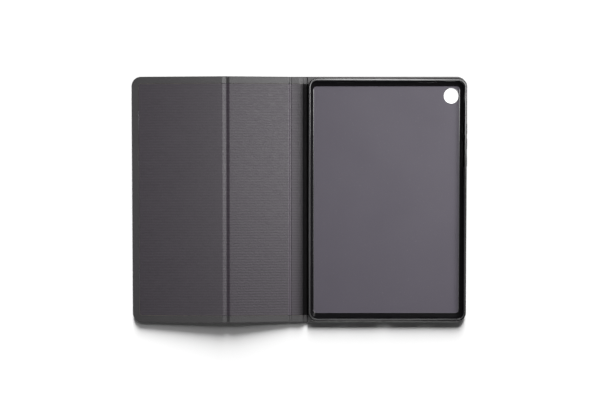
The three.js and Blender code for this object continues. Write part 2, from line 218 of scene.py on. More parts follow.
class FolioColours(bpy.types.PropertyGroup):
    leather: colour("Skin", "Imitation leather of the outer face and the hems", (0.050, 0.048, 0.050))
    lining: colour("Lining", "Ribbed lining of the inner panel and the spine", (0.0465, 0.0365, 0.0495))
    # Painted shade: the near-black colour the lining fades to across the spine and in the gap beside the tray,
    # where the tray's shade falls.
    lining_painted_shade: colour("Painted shade by the tray", "Lining in the gap beside the tray", (0.008, 0.0075, 0.008))
    # The outer panel's own copy of the same lining, with its own tone, set for how light falls on that panel.
    lining_as_lit_on_outer_panel: colour("Outer lining", "Ribbed lining of the outer panel", (0.048, 0.0395, 0.051))
    tray_wall: colour("Tray wall", "Glossy walls and lip of the tray", (0.006, 0.0055, 0.0065))
    tray_floor: colour("Tray floor", "Frosted floor of the tray", (0.095, 0.085, 0.108))
    button: colour("Button covers", "Button covers in the tray's wall", (0.03, 0.03, 0.032))
    board: colour("Board", "Grey board inside the panels", (0.23, 0.21, 0.18))
    steel: colour("Magnet", "Plated magnets inside the outer panel", (0.55, 0.55, 0.57))
    glue: colour("Glue sheet", "Sheet that bonds the tray to the back", (0.62, 0.60, 0.54))
    table: colour("Table", "Pale floor under the case", (0.86, 0.86, 0.86))


# ---------------------------------------------------------------- modelling by hand, in code


def only(piece):
    """Leaves this piece selected and active, and nothing else."""
    bpy.ops.object.select_all(action="DESELECT")
    piece.select_set(True)
    bpy.context.view_layer.objects.active = piece


def clear_selection():
    bpy.ops.object.select_all(action="DESELECT")


def edit(piece):
    only(piece)
    bpy.ops.object.mode_set(mode="EDIT")


def leave_edit():
    bpy.ops.object.mode_set(mode="OBJECT")


def open_mesh():
    return bmesh.from_edit_mesh(bpy.context.edit_object.data)


def pick(kind, test):
    """Selects the VERT, EDGE or FACE elements of the open mesh that pass the test."""
    bpy.ops.mesh.select_mode(type=kind)
    bpy.ops.mesh.select_all(action="DESELECT")
    mesh = open_mesh()
    parts = {"VERT": mesh.verts, "EDGE": mesh.edges, "FACE": mesh.faces}[kind]
    for part in parts:
        if test(part):
            part.select_set(True)
    mesh.select_flush_mode()
    bmesh.update_edit_mesh(bpy.context.edit_object.data)


def pick_all():
    bpy.ops.mesh.select_mode(type="VERT")
    bpy.ops.mesh.select_all(action="SELECT")


def block(name, low, high):
    """A box between two corners, with its place and size in its mesh."""
    clear_selection()
    low, high = Vector(low), Vector(high)
    bpy.ops.mesh.primitive_cube_add(size=1, location=(low + high) / 2)
    piece = bpy.context.object
    piece.name = name
    piece.data.name = name
    piece.scale = high - low
    bpy.ops.object.transform_apply(location=True, rotation=True, scale=True)
    return piece


def upright(edge):
    a, b = edge.verts
    return (a.co.xy - b.co.xy).length < SMALL


def level(edge):
    a, b = edge.verts
    return abs(a.co.z - b.co.z) < SMALL


def cut(x, drop_left=False, drop_right=False):
    """Cuts the open mesh along a line of constant X, and drops one side of it if asked."""
    pick_all()
    bpy.ops.mesh.bisect(
        plane_co=(x, 0, 0),
        plane_no=(1, 0, 0),
        clear_inner=drop_left,
        clear_outer=drop_right,
    )


def columns(left, right, count):
    """Cuts the open mesh into columns, so that it can take a curve along X."""
    for i in range(1, count):
        cut(left + (right - left) * i / count)


def modifier(piece, kind, **settings):
    """Adds a modifier and applies it at once."""
    only(piece)
    added = piece.modifiers.new(kind.title(), kind)
    for key, value in settings.items():
        setattr(added, key, value)
    bpy.ops.object.modifier_apply(modifier=added.name)


def smooth(piece, degrees=42):
    """Smooth shading with the flat faces kept flat."""
    only(piece)
    bpy.ops.object.shade_smooth_by_angle(angle=math.radians(degrees))
    modifier(piece, "WEIGHTED_NORMAL", keep_sharp=True, weight=80)


def ease(t):
    t = max(0.0, min(1.0, t))
    return t * t * (3 - 2 * t)


def keep_flat_place(piece):
    """Stores each point's place with the case laid flat, for patterns that follow the cloth over a fold."""
    stored = piece.data.attributes.new("flat_place", "FLOAT_VECTOR", "POINT")
    for i, vertex in enumerate(piece.data.vertices):
        stored.data[i].vector = vertex.co


def store_rubbing_and_highlight(piece, wear):
    """Stores how rubbed each point is, from 0 to 1; on the front fold's lining it also carries a painted highlight
    along the creases.
    """
    stored = piece.data.attributes.new("rubbed_share_with_highlight", "FLOAT", "POINT")
    for i, vertex in enumerate(piece.data.vertices):
        stored.data[i].value = wear(vertex.co)


def turned(point, hinge, angle):
    """The point turned about a line along Y through the hinge; a positive angle lifts what is left of it."""
    across, up = point.x - hinge.x, point.z - hinge.z
    return Vector((
        hinge.x + across * math.cos(angle) + up * math.sin(angle),
        point.y,
        hinge.z - across * math.sin(angle) + up * math.cos(angle),
    ))


def settled(point):
    """Where a point of the case laid flat lies at rest, with the low ridge at the cover fold."""
    flat_cover_hinge = Vector((FLAT_COVER_HINGE_X, 0, HINGE_HEIGHT))
    share = ease((COVER_FOLD_RIGHT_X - point.x) / (COVER_FOLD_RIGHT_X - COVER_FOLD_LEFT_X))
    point = turned(point, flat_cover_hinge, -share * (INNER_LEAN + OUTER_LEAN))
    share = ease((FRONT_FOLD_RIGHT_X - point.x) / (FRONT_FOLD_RIGHT_X - FRONT_FOLD_LEFT_X))
    return turned(point, FRONT_HINGE, share * INNER_LEAN)


def settle(piece):
    for vertex in piece.data.vertices:
        vertex.co = settled(vertex.co)
    piece.data.update()


# ---------------------------------------------------------------- shader nodes


def shader_tree(name):
    material = bpy.data.materials.new(name)
    material.use_nodes = True
    tree = material.node_tree
    tree.nodes.clear()
    return material, tree


def node(tree, kind, inputs=None, **settings):
    """Adds a node; a value in inputs is either a number to set or a socket to link from."""
    added = tree.nodes.new(kind)
    for key, value in settings.items():
        setattr(added, key, value)
    for key, value in (inputs or {}).items():
        if isinstance(value, bpy.types.NodeSocket):
            tree.links.new(value, added.inputs[key])
        else:
            added.inputs[key].default_value = value
    return added


def maths(tree, operation, *values, clamp=False):
    inputs = dict(enumerate(values))
    return node(tree, "ShaderNodeMath", inputs, operation=operation, use_clamp=clamp).outputs[0]


def between(tree, factor, dark, light):
    """Mixes two colours by a factor."""
    mixed = node(tree, "ShaderNodeMix", data_type="RGBA")
    for socket, value in ((mixed.inputs[0], factor), (mixed.inputs[6], dark), (mixed.inputs[7], light)):
        if isinstance(value, bpy.types.NodeSocket):
            tree.links.new(value, socket)
        elif isinstance(value, (int, float)):
            socket.default_value = value
        else:
            socket.default_value = (*value[:3], 1)
    return mixed.outputs[2]


def spread(tree, value, low, high):
    """Takes a 0 to 1 value to low to high."""
    return node(tree, "ShaderNodeMapRange", {"Value": value, "To Min": low, "To Max": high}).outputs["Result"]


def ramp(tree, value, start, end, **settings):
    """0 where the value is at start, 1 where it is at end."""
    inputs = {"Value": value, "From Min": start, "From Max": end}
    return node(tree, "ShaderNodeMapRange", inputs, **settings).outputs["Result"]


def noise(tree, place, scale, detail, output="Fac"):
    inputs = {"Vector": place, "Scale": scale, "Detail": detail}
    return node(tree, "ShaderNodeTexNoise", inputs).outputs[output]


def stretched_noise(tree, place, scales, detail):
    """Noise with its own scale along each axis, for fibres and brushing."""
    stretched = node(tree, "ShaderNodeMapping", {"Vector": place, "Scale": scales})
    return noise(tree, stretched.outputs[0], 1.0, detail)


def vector_maths(tree, operation, *values, output=0):
    made = node(tree, "ShaderNodeVectorMath", dict(enumerate(values)), operation=operation)
    return made.outputs[output]


def new_group(name, inputs, outputs):
    """A shader node group; inputs are (name, kind, default) and outputs (name, kind)."""
    group = bpy.data.node_groups.new(name, "ShaderNodeTree")
    for socket_name, kind, default in inputs:
        socket = group.interface.new_socket(
            name=socket_name, in_out="INPUT", socket_type="NodeSocket" + kind
        )
        if default is not None:
            socket.default_value = default
    for socket_name, kind in outputs:
        group.interface.new_socket(name=socket_name, in_out="OUTPUT", socket_type="NodeSocket" + kind)
    return group, group.nodes.new("NodeGroupInput").outputs, group.nodes.new("NodeGroupOutput")


def use_group(tree, name, inputs):
    return node(tree, "ShaderNodeGroup", inputs, node_tree=bpy.data.node_groups[name]).outputs


def put_out(group, out, **values):
    """Links what a group has made to its outputs."""
    for name, socket in values.items():
        group.links.new(socket, out.inputs[name])


def make_leather_grain():
    """Fine pebbled grain with pores, as embossed in imitation leather."""
    group, given, out = new_group(
        "Leather grain",
        [("Place", "Vector", None), ("Grain Size", "Float", 0.0009), ("Unevenness", "Float", 0.35)],
        [("Height", "Float"), ("Tone", "Float"), ("Gloss", "Float")],
    )
    place = given["Place"]
    per_metre = maths(group, "DIVIDE", 1.0, given["Grain Size"])
    drift = noise(group, place, 420.0, 2.0, output="Color")
    pushed = vector_maths(group, "MULTIPLY", drift, (0.0007, 0.0007, 0.0007))
    pebbles = node(
        group,
        "ShaderNodeTexVoronoi",
        {"Vector": vector_maths(group, "ADD", place, pushed), "Scale": per_metre, "Smoothness": 0.6},
        feature="SMOOTH_F1",
    )
    pores = noise(group, place, maths(group, "MULTIPLY", per_metre, 5.5), 3.0)
    patches = noise(group, place, 38.0, 3.0)
    dome = maths(group, "SUBTRACT", 1.0, pebbles.outputs["Distance"])
    uneven = maths(group, "MULTIPLY", maths(group, "SUBTRACT", patches, 0.5), given["Unevenness"])
    tone = maths(group, "ADD", maths(group, "ADD", 0.42, uneven), maths(group, "MULTIPLY", dome, 0.16))
    put_out(
        group,
        out,
        Height=maths(group, "ADD", dome, maths(group, "MULTIPLY", pores, 0.25)),
        Tone=maths(group, "ADD", tone, 0.0, clamp=True),
        Gloss=maths(group, "ADD", uneven, 0.5, clamp=True),
    )


def make_ribbed_weave():
    """Rows of fine cross threads, with every fourth row standing out as a rib."""
    group, given, out = new_group(
        "Ribbed weave",
        [("Place", "Vector", None), ("Rib Pitch", "Float", 0.00277), ("Thread Length", "Float", 0.0012)],
        [("Height", "Float"), ("Rib", "Float"), ("Fleck", "Float")],
    )
    sway = noise(group, given["Place"], 70.0, 2.0)
    place = node(group, "ShaderNodeSeparateXYZ", {"Vector": given["Place"]}).outputs
    row_place = maths(group, "ADD", place["Y"], maths(group, "MULTIPLY", sway, 0.0006))
    turns = maths(group, "DIVIDE", row_place, given["Rib Pitch"])
    rib = maths(group, "SINE", maths(group, "MULTIPLY", turns, 2 * math.pi))
    thread = maths(group, "SINE", maths(group, "MULTIPLY", turns, 8 * math.pi))
    row = maths(group, "FLOOR", maths(group, "MULTIPLY", turns, 4.0))
    along = maths(group, "DIVIDE", place["X"], given["Thread Length"])
    staggered = maths(group, "ADD", along, maths(group, "MULTIPLY", row, 0.37))
    float_over = maths(group, "SINE", maths(group, "MULTIPLY", staggered, 2 * math.pi))
    slub = stretched_noise(group, given["Place"], (240.0, 900.0, 240.0), 2.0)
    fine_threads = maths(group, "MULTIPLY", thread, 0.22)
    weave = maths(group, "ADD", fine_threads, maths(group, "MULTIPLY", float_over, 0.12))
    strong = maths(group, "MULTIPLY", rib, spread(group, slub, 0.1, 0.5))
    put_out(
        group,
        out,
        Height=maths(group, "ADD", maths(group, "ADD", weave, strong), slub),
        Rib=maths(group, "ADD", maths(group, "MULTIPLY", rib, 0.5), 0.5),
        Fleck=spread(group, slub, -0.5, 1.5),
    )


def make_handling_marks():
    """Broad soft marks and fine dust, as on anything that has been handled."""
    group, given, out = new_group(
        "Handling marks",
        [("Place", "Vector", None), ("Mark Size", "Float", 0.03), ("Dust Size", "Float", 0.0012)],
        [("Marks", "Float"), ("Dust", "Float")],
    )
    broad = noise(group, given["Place"], maths(group, "DIVIDE", 1.0, given["Mark Size"]), 4.0)
    specks = noise(group, given["Place"], maths(group, "DIVIDE", 1.0, given["Dust Size"]), 1.0)
    put_out(group, out, Marks=spread(group, broad, -0.25, 1.25), Dust=ramp(group, specks, 0.68, 0.8))


def make_mould_texture():
    """Very fine matt texture that a mould leaves on flexible plastic."""
    group, given, out = new_group(
        "Mould texture",
        [("Place", "Vector", None), ("Grit Size", "Float", 0.0003)],
        [("Height", "Float"), ("Cloud", "Float")],
    )
    grit = noise(group, given["Place"], maths(group, "DIVIDE", 1.0, given["Grit Size"]), 2.0)
    put_out(group, out, Height=grit, Cloud=noise(group, given["Place"], 22.0, 3.0))


def flat_place(tree):
    return node(tree, "ShaderNodeAttribute", attribute_name="flat_place").outputs["Vector"]


def object_place(tree):
    return node(tree, "ShaderNodeTexCoord").outputs["Object"]


def finish_shader(tree, colour_socket, roughness, height, bump_distance, **fixed):
    """The Principled shader with its output, bump, and the sockets that are the same all over."""
    shader = node(tree, "ShaderNodeBsdfPrincipled")
    for key, value in fixed.items():
        shader.inputs[key.replace("_", " ").title().replace("Ior", "IOR")].default_value = value
    tree.links.new(colour_socket, shader.inputs["Base Color"])
    tree.links.new(roughness, shader.inputs["Roughness"])
    if height is not None:
        bump = node(tree, "ShaderNodeBump", {"Height": height, "Distance": bump_distance, "Strength": 1.0})
        tree.links.new(bump.outputs["Normal"], shader.inputs["Normal"])
    end = node(tree, "ShaderNodeOutputMaterial")
    tree.links.new(shader.outputs[0], end.inputs["Surface"])
    return shader


def tint(base, share):
    return tuple(min(1.0, c * share) for c in base)


def dusty(tree, base, dust, amount, grey):
    """Lays a little grey dust over a colour."""
    return between(tree, maths(tree, "MULTIPLY", dust, amount), base, grey)


def make_leather(name, colours):
    material, tree = shader_tree(name)
    grain = use_group(tree, "Leather grain", {"Place": flat_place(tree)})
    marks = use_group(tree, "Handling marks", {"Place": flat_place(tree)})
    wear_with_sheen = node(tree, "ShaderNodeAttribute", attribute_name="rubbed_share_with_highlight").outputs["Fac"]
    base = between(tree, grain["Tone"], tint(colours.leather, 0.72), tint(colours.leather, 1.3))
    rubbed = maths(tree, "MULTIPLY", wear_with_sheen, spread(tree, marks["Marks"], 0.1, 0.75))
    base = between(tree, rubbed, base, tint(colours.leather, 2.1))
    base = dusty(tree, base, marks["Dust"], 0.12, (0.4, 0.39, 0.37))
    polished = maths(tree, "SUBTRACT", grain["Gloss"], maths(tree, "MULTIPLY", rubbed, 0.3))
    roughness = spread(tree, polished, 0.40, 0.58)
    finish_shader(tree, base, roughness, grain["Height"], 0.00005, specular_ior_level=0.8)
    return material


def make_lining(name, base_colour, painted_shade_colour, contrast):
    """Ribbed cloth, lighter where it is rubbed, with a painted highlight along the front fold's creases and
    painted shade that darkens it towards the gap beside the tray.
    """
    material, tree = shader_tree(name)
    cloth_place = flat_place(tree)
    weave = use_group(tree, "Ribbed weave", {"Place": cloth_place})
    marks = use_group(tree, "Handling marks", {"Place": cloth_place, "Mark Size": 0.045})
    wear_with_sheen = node(tree, "ShaderNodeAttribute", attribute_name="rubbed_share_with_highlight").outputs["Fac"]
    half_fleck = maths(tree, "MULTIPLY", weave["Fleck"], 0.5)
    shade = maths(tree, "ADD", maths(tree, "MULTIPLY", weave["Rib"], 0.5), half_fleck)
    base = between(tree, shade, tint(base_colour, 1 - contrast), tint(base_colour, 1 + contrast))
    base = between(tree, maths(tree, "MULTIPLY", marks["Marks"], 0.12), base, tint(base_colour, 1.5))
    base = dusty(tree, base, marks["Dust"], 0.1, (0.4, 0.39, 0.38))
    # Painted highlight, partly real rubbing: lightens the cloth along the front fold's creases.
    base = between(tree, maths(tree, "MULTIPLY", wear_with_sheen, 0.5), base, tint(base_colour, 2.4))
    # Painted shade: darkens the lining across the spine towards the gap beside the tray, down to near black in the
    # gap.
    across = node(tree, "ShaderNodeSeparateXYZ", {"Vector": cloth_place}).outputs["X"]
    shade_towards_gap = ramp(tree, across, FRONT_FOLD_RIGHT_X, BACK_FOLD_LEFT_X + 0.0012)
    dark = maths(tree, "POWER", shade_towards_gap, 2.2)
    base = between(tree, dark, base, painted_shade_colour)
    roughness = spread(tree, weave["Fleck"], 0.42, 0.56)
    bump = 0.0001 * contrast + 0.00002
    shader = finish_shader(tree, base, roughness, weave["Height"], bump, specular_ior_level=0.8)
    # Painted shade: the lining's sheen fades out towards the gap as well.
    tree.links.new(spread(tree, dark, 0.8, 0.1), shader.inputs["Specular IOR Level"])
    return material


# Moulded plastics: grit and mark size, tones and dust (how much, how light), least and most
# matt, bump, shine, frost.
TRAY_WALL = (0.0006, 0.012, (0.8, 1.3), (0.06, 0.4), (0.13, 0.21), 0.000004, 0.5, 0.0)
TRAY_FLOOR = (0.0003, 0.06, (0.94, 1.06), (0.08, 0.5), (0.5, 0.6), 0.00002, 0.3, 0.3)
BUTTON = (0.0004, 0.006, (0.8, 1.25), (0.1, 0.4), (0.28, 0.4), 0.00001, 0.5, 0.0)


def make_moulded(name, base_colour, grit, mark_size, tones, dust, matt, bump, shine, frost):
    material, tree = shader_tree(name)
    place = object_place(tree)
    texture = use_group(tree, "Mould texture", {"Place": place, "Grit Size": grit})
    marks = use_group(tree, "Handling marks", {"Place": place, "Mark Size": mark_size})
    base = between(tree, texture["Cloud"], tint(base_colour, tones[0]), tint(base_colour, tones[1]))
    if frost:
        frosted = maths(tree, "MULTIPLY", texture["Height"], frost)
        base = between(tree, frosted, base, tint(base_colour, 1.25))
    how_much, how_light = dust
    base = dusty(tree, base, marks["Dust"], how_much, (how_light,) * 3)
    roughness = spread(tree, marks["Marks"], *matt)
    finish_shader(tree, base, roughness, texture["Height"], bump, specular_ior_level=shine)
    return material


def make_board(name, colours):
    material, tree = shader_tree(name)
    place = object_place(tree)
    fibres = stretched_noise(tree, place, (300.0, 1400.0, 1400.0), 4.0)
    marks = use_group(tree, "Handling marks", {"Place": place, "Mark Size": 0.02})
    base = between(tree, fibres, tint(colours.board, 0.7), tint(colours.board, 1.3))
    base = between(tree, marks["Dust"], base, tint(colours.board, 0.5))
    roughness = spread(tree, fibres, 0.8, 0.95)
    finish_shader(tree, base, roughness, fibres, 0.00008, specular_ior_level=0.2)
    return material


def make_steel(name, colours):
    material, tree = shader_tree(name)
    brushed = stretched_noise(tree, object_place(tree), (120.0, 6000.0, 6000.0), 3.0)
    base = between(tree, brushed, tint(colours.steel, 0.8), tint(colours.steel, 1.15))
    roughness = spread(tree, brushed, 0.22, 0.42)
    finish_shader(tree, base, roughness, brushed, 0.000006, metallic=1.0)
    return material


def make_glue(name, colours):
    material, tree = shader_tree(name)
    texture = use_group(tree, "Mould texture", {"Place": object_place(tree), "Grit Size": 0.0011})
    base = between(tree, texture["Cloud"], tint(colours.glue, 0.85), tint(colours.glue, 1.1))
    roughness = spread(tree, texture["Height"], 0.45, 0.7)
    finish_shader(tree, base, roughness, texture["Height"], 0.00003, specular_ior_level=0.4)
    return material


def make_table(name, colours):
    """Pale, glowing white far from the case and under its camera window, and clear from below."""
    material, tree = shader_tree(name)
    place = object_place(tree)
    cloud = noise(tree, place, 3.0, 2.0)
    base = between(tree, cloud, tint(colours.table, 0.995), tint(colours.table, 1.005))
    roughness = spread(tree, cloud, 0.85, 0.95)
    shader = finish_shader(tree, base, roughness, None, 0.0, specular_ior_level=0.1, emission_strength=1.1)
    across = vector_maths(tree, "MULTIPLY", place, (0.55, 0.8, 1.0))
    away = vector_maths(tree, "LENGTH", across, output="Value")
    far = ramp(tree, away, 0.13, 0.34, interpolation_type="SMOOTHSTEP")
    to_window = vector_maths(tree, "DISTANCE", place, tuple(camera_centre()), output="Value")
    glow = maths(tree, "MAXIMUM", far, ramp(tree, to_window, 0.012, 0.010))
    tree.links.new(between(tree, glow, (0.0, 0.0, 0.0), (1.0, 1.0, 1.0)), shader.inputs["Emission Color"])
    clear = node(tree, "ShaderNodeBsdfTransparent")
    below = node(tree, "ShaderNodeNewGeometry").outputs["Backfacing"]
    mixed = node(tree, "ShaderNodeMixShader", {0: below, 1: shader.outputs[0], 2: clear.outputs[0]})
    end = next(other for other in tree.nodes if other.type == "OUTPUT_MATERIAL")
    tree.links.new(mixed.outputs[0], end.inputs["Surface"])
    return material


def finish_named(name, maker, *given):
    """The material of that name, made on first use."""
    return bpy.data.materials.get(name) or maker(name, *given)


def groups_ready():
    """Builds the node groups that several finishes share, once."""
    if "Leather grain" not in bpy.data.node_groups:
        make_leather_grain()
        make_ribbed_weave()
        make_handling_marks()
        make_mould_texture()


def dress(piece, material):
    piece.data.materials.clear()
    piece.data.materials.append(material)


# ---------------------------------------------------------------- skins


def plate(name, left, right, half, bottom, top, rounded, radius, segments):
    """A plate in edit mode, made past its folds, with the corners at its rounded end rounded."""
    start = left if rounded == "left" else left - BEYOND
    end = right if rounded == "right" else right + BEYOND
    piece = block(name, (start, -half, bottom), (end, half, top))
    edit(piece)
    if rounded:
        corner_x = start if rounded == "left" else end
        pick("EDGE", lambda e: upright(e) and abs(e.verts[0].co.x - corner_x) < SMALL)
        bpy.ops.mesh.bevel(offset=radius, segments=segments, affect="EDGES")
    return piece


def trim(left, right, rounded, count, closed=False):
    """Cuts the open mesh off at its folds and into columns, and leaves edit mode."""
    for side, x in (("left", left), ("right", right)):
        if side != rounded:
            cut(x, drop_left=side == "left", drop_right=side == "right")
            if closed:
                close_end(x)
    columns(left, right, count)
    leave_edit()


def close_end(x):
    """Fills the open end that a cut at x has left."""
    pick("EDGE", lambda e: e.is_boundary and all(abs(v.co.x - x) < SMALL for v in e.verts))
    bpy.ops.mesh.edge_face_add()


def wrapped_skin(name, left, right, sizes, rounded=None, count=1):
    """Skin wrapped round a board: outer face, rounded edge and turned-in hem, open at its folds."""
    corners = (rounded, sizes.corner_radius, 12)
    piece = plate(name, left, right, CASE_HEIGHT / 2, 0, PANEL_THICKNESS, *corners)
    pick("EDGE", level)
    bpy.ops.mesh.bevel(offset=sizes.rim_radius, segments=5, affect="EDGES")
    pick("FACE", lambda f: f.normal.z > 0.99)
    bpy.ops.mesh.inset(thickness=sizes.hem_width - sizes.rim_radius)
    bpy.ops.mesh.delete(type="FACE")
    trim(left, right, rounded, count)
    return piece


def wall_up(piece, sizes):
    """Gives the skin its thickness, inwards."""
    modifier(
        piece,
        "SOLIDIFY",
        thickness=sizes.skin_thickness,
        offset=-1.0,
        use_even_offset=True,
        use_rim=True,
    )


def rim_wear(point):
    """Rubbed along the rounded edge, and less along the hem."""
    to_side = min(CASE_HEIGHT / 2 - abs(point.y), point.x - OUTER_EDGE_X, BACK_EDGE_X - point.x)
    near = max(0.0, 1.0 - to_side / 0.0012)
    return near * (0.6 + 0.4 * abs(point.z / PANEL_THICKNESS - 0.5) * 2)


def finish_skin(piece, colours):
    keep_flat_place(piece)
    store_rubbing_and_highlight(piece, rim_wear)
    smooth(piece)
    settle(piece)
    dress(piece, finish_named("Imitation leather", make_leather, colours))


def camera_hole_in_skin(piece, centre, radius, sizes):
    """Opens the skin for the camera and turns it up into the hole, like a short collar."""
    edge = sizes.skin_thickness
    top = PANEL_THICKNESS * 0.9
    outside = radius + edge
    collar = round_cutter(centre, ((outside, edge / 2), (outside, top - edge / 2), (radius + edge / 2, top)))
    modifier(piece, "BOOLEAN", operation="UNION", object=collar, solver="EXACT")
    bpy.data.objects.remove(collar)
    hole = (
        (outside, -BEYOND),
        (outside, 0.0),
        (radius + edge / 4, edge / 4),
        (radius, edge),
        (radius, BEYOND),
    )
    carve(piece, round_cutter(centre, hole))


def groove(u, deepest):
    """Depth share across a groove with level ends; deepest is where its floor lies, from 0 to 1."""
    return ease(u / deepest) if u < deepest else ease((1 - u) / (1 - deepest))


def share_across(x, left, right):
    return (x - left) / (right - left)


def cover_fold_drop(x, sizes):
    """One even groove, a little narrower than the fold."""
    u = share_across(x, COVER_FOLD_LEFT_X, COVER_FOLD_RIGHT_X)
    u = max(0.0, min(1.0, (u - COVER_GROOVE_START) / COVER_GROOVE_WIDTH))
    return sizes.groove_depth * groove(u, 0.5)


def front_fold_drop(x, sizes):
    """Two creases side by side, each with a long left slope and a short right one."""
    u = share_across(x, FRONT_FOLD_LEFT_X, FRONT_FOLD_RIGHT_X)
    return sizes.crease_depth * groove((2 * u) % 1.0, CREASE_DEEPEST)


def back_fold_drop(x, sizes):
    """The spine's end rolls down a little, then drops to the bottom of the gap beside the tray."""
    roll = sizes.roll_depth * ease((x - (BACK_FOLD_LEFT_X - sizes.roll_width)) / sizes.roll_width)
    u = share_across(x, BACK_FOLD_LEFT_X, BACK_FOLD_RIGHT_X)
    if u <= 0:
        return roll
    down = roll + (sizes.gap_depth - roll) * ease(u / GAP_DOWN_BY)
    return down - sizes.gap_depth * ease((u - GAP_UP_FROM) / (1 - GAP_UP_FROM))


def fold_lines():
    """Name, left, right, the bodies to the right and to the left, drop at an x, columns."""
    cover = (COVER_FOLD_LEFT_X, COVER_FOLD_RIGHT_X, "inner_panel", "outer_panel")
    front = (FRONT_FOLD_LEFT_X, FRONT_FOLD_RIGHT_X, "spine", "inner_panel")
    back = (BACK_FOLD_LEFT_X, BACK_FOLD_RIGHT_X, "back", "spine")
    return (
        ("cover_fold", *cover, cover_fold_drop, 36),
        ("front_fold", *front, front_fold_drop, 40),
        ("back_fold", *back, back_fold_drop, 24),
    )


def press_skin(piece, drop_at, sizes, outer_groove=None):
    """Presses the skin's top down and, between the lines of outer_groove, its underside up."""
    middle = PANEL_THICKNESS / 2
    for vertex in piece.data.vertices:
        if vertex.co.z > middle:
            reach = (vertex.co.z - middle) / (PANEL_THICKNESS - sizes.skin_thickness - middle)
            vertex.co.z -= drop_at(vertex.co.x, sizes) * min(1.0, reach)
        elif outer_groove:
            rise = sizes.outer_groove_depth * groove(share_across(vertex.co.x, *outer_groove), 0.5)
            reach = (middle - vertex.co.z) / (middle - sizes.skin_thickness)
            vertex.co.z += rise * min(1.0, reach)
    piece.data.update()


def bend_with(piece):
    """Bakes the strip's place into its mesh."""
    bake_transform(piece)


# ---------------------------------------------------------------- lining


def lining_sheet(name, left, right, sizes, rounded=None, count=1):
    """A thin sheet of lining between two lines of constant X."""
    top = PANEL_THICKNESS - sizes.lining_drop
    bottom = top - sizes.lining_thickness
    corners = (rounded, sizes.corner_radius - LINING_INSET, 8)
    piece = plate(name, left, right, CASE_HEIGHT / 2 - LINING_INSET, bottom, top, *corners)
    pick("EDGE", lambda e: level(e) and e.verts[0].co.z > top - SMALL)
    bpy.ops.mesh.bevel(offset=sizes.lining_thickness * 0.6, segments=3, affect="EDGES")
    trim(left, right, rounded, count, closed=True)
    return piece


def press_lining(piece, drop_at, sizes):
    for vertex in piece.data.vertices:
        vertex.co.z -= drop_at(vertex.co.x, sizes)
    piece.data.update()


def crease_highlight_and_wear(point):
    """Painted highlight along the front fold's creases, standing in for their sheen, with some rubbing of the
    cloth there too.
    """
    u = share_across(point.x, FRONT_FOLD_LEFT_X, FRONT_FOLD_RIGHT_X)
    return groove(max(0.0, min(1.0, u)), CREASE_BRIGHTEST_AND_MOST_WORN)


def finish_lining(piece, material):
    keep_flat_place(piece)
    smooth(piece)
    settle(piece)
    dress(piece, material)


# ---------------------------------------------------------------- tray


def ring_places(half_x, half_y, radius, steps=10, support=0.0016):
    """Points round a rectangle with round corners, counter-clockwise from the right side."""
    places = []
    for quarter in range(4):
        sign_x = 1 if quarter in (0, 3) else -1
        sign_y = 1 if quarter in (0, 1) else -1
        centre_x = sign_x * (half_x - radius)
        centre_y = sign_y * (half_y - radius)
        angles = [math.pi / 2 * (quarter + i / steps) for i in range(steps + 1)]
        arc = [(centre_x + radius * math.cos(a), centre_y + radius * math.sin(a)) for a in angles]
        first, last = angles[0], angles[-1]
        before = (arc[0][0] + support * math.sin(first), arc[0][1] - support * math.cos(first))
        after = (arc[-1][0] - support * math.sin(last), arc[-1][1] + support * math.cos(last))
        places += [before, *arc, after]
    return places


def put_on_ring(places, z):
    """Moves the selected points of the open mesh onto a ring, in order of angle."""
    mesh = open_mesh()
    chosen = sorted((v for v in mesh.verts if v.select), key=lambda v: math.atan2(v.co.y, v.co.x))
    ordered = sorted(places, key=lambda p: math.atan2(p[1], p[0]))
    for vertex, (x, y) in zip(chosen, ordered):
        vertex.co = (x, y, z)
    bmesh.update_edit_mesh(bpy.context.edit_object.data)


def ring_stack(name, rings):
    """A closed solid grown ring by ring; rings are (half_x, half_y, radius, z)."""
    clear_selection()
    first = ring_places(*rings[0][:3])
    bpy.ops.mesh.primitive_circle_add(vertices=len(first), radius=0.01, fill_type="NGON")
    piece = bpy.context.object
    piece.name = name
    piece.data.name = name
    edit(piece)
    bpy.ops.mesh.select_mode(type="FACE")
    bpy.ops.mesh.select_all(action="SELECT")
    put_on_ring(first, rings[0][3])
    for half_x, half_y, radius, z in rings[1:]:
        bpy.ops.mesh.extrude_region_move()
        put_on_ring(ring_places(half_x, half_y, radius), z)
    pick_all()
    bpy.ops.mesh.normals_make_consistent(inside=False)
    leave_edit()
    return piece


# Tray section from the base up its outside, over the lip and down into the pocket: inset and height, in mm,
# and the share of the end walls' extra thickness.
TRAY_SECTION = (
    (9.5, 0.0, 0),
    (2.2, 0.0, 0),
    (1.2, 0.15, 0),
    (0.5, 0.7, 0),
    (0.08, 1.8, 0),
    (0.0, 3.2, 0),
    (0.0, 7.6, 0),
    (0.03, 8.9, 0),
    (0.14, 9.75, 0),
    (0.3, 10.2, 0),
    (0.52, 10.38, 0.1),
    (2.05, 10.4, 0.22),
    (2.4, 10.28, 0.25),
    (2.6, 9.9, 0.25),
    (2.66, 9.3, 0.25),
    (2.55, 8.75, 0.25),
    (1.95, 8.2, 0.25),
    (1.6, 7.6, 0.25),
    (1.6, 5.6, 0.3),
    (1.9, 4.6, 0.4),
    (3.2, 3.3, 0.7),
    (4.6, 1.95, 0.95),
    (5.2, 1.5, 1),
    (5.5, 1.36, 1),
    (5.9, 1.3, 1),
    (7.2, 1.3, 1),
)
FLOOR_FROM_INSET = 5.6  # mm, where the frosted floor begins


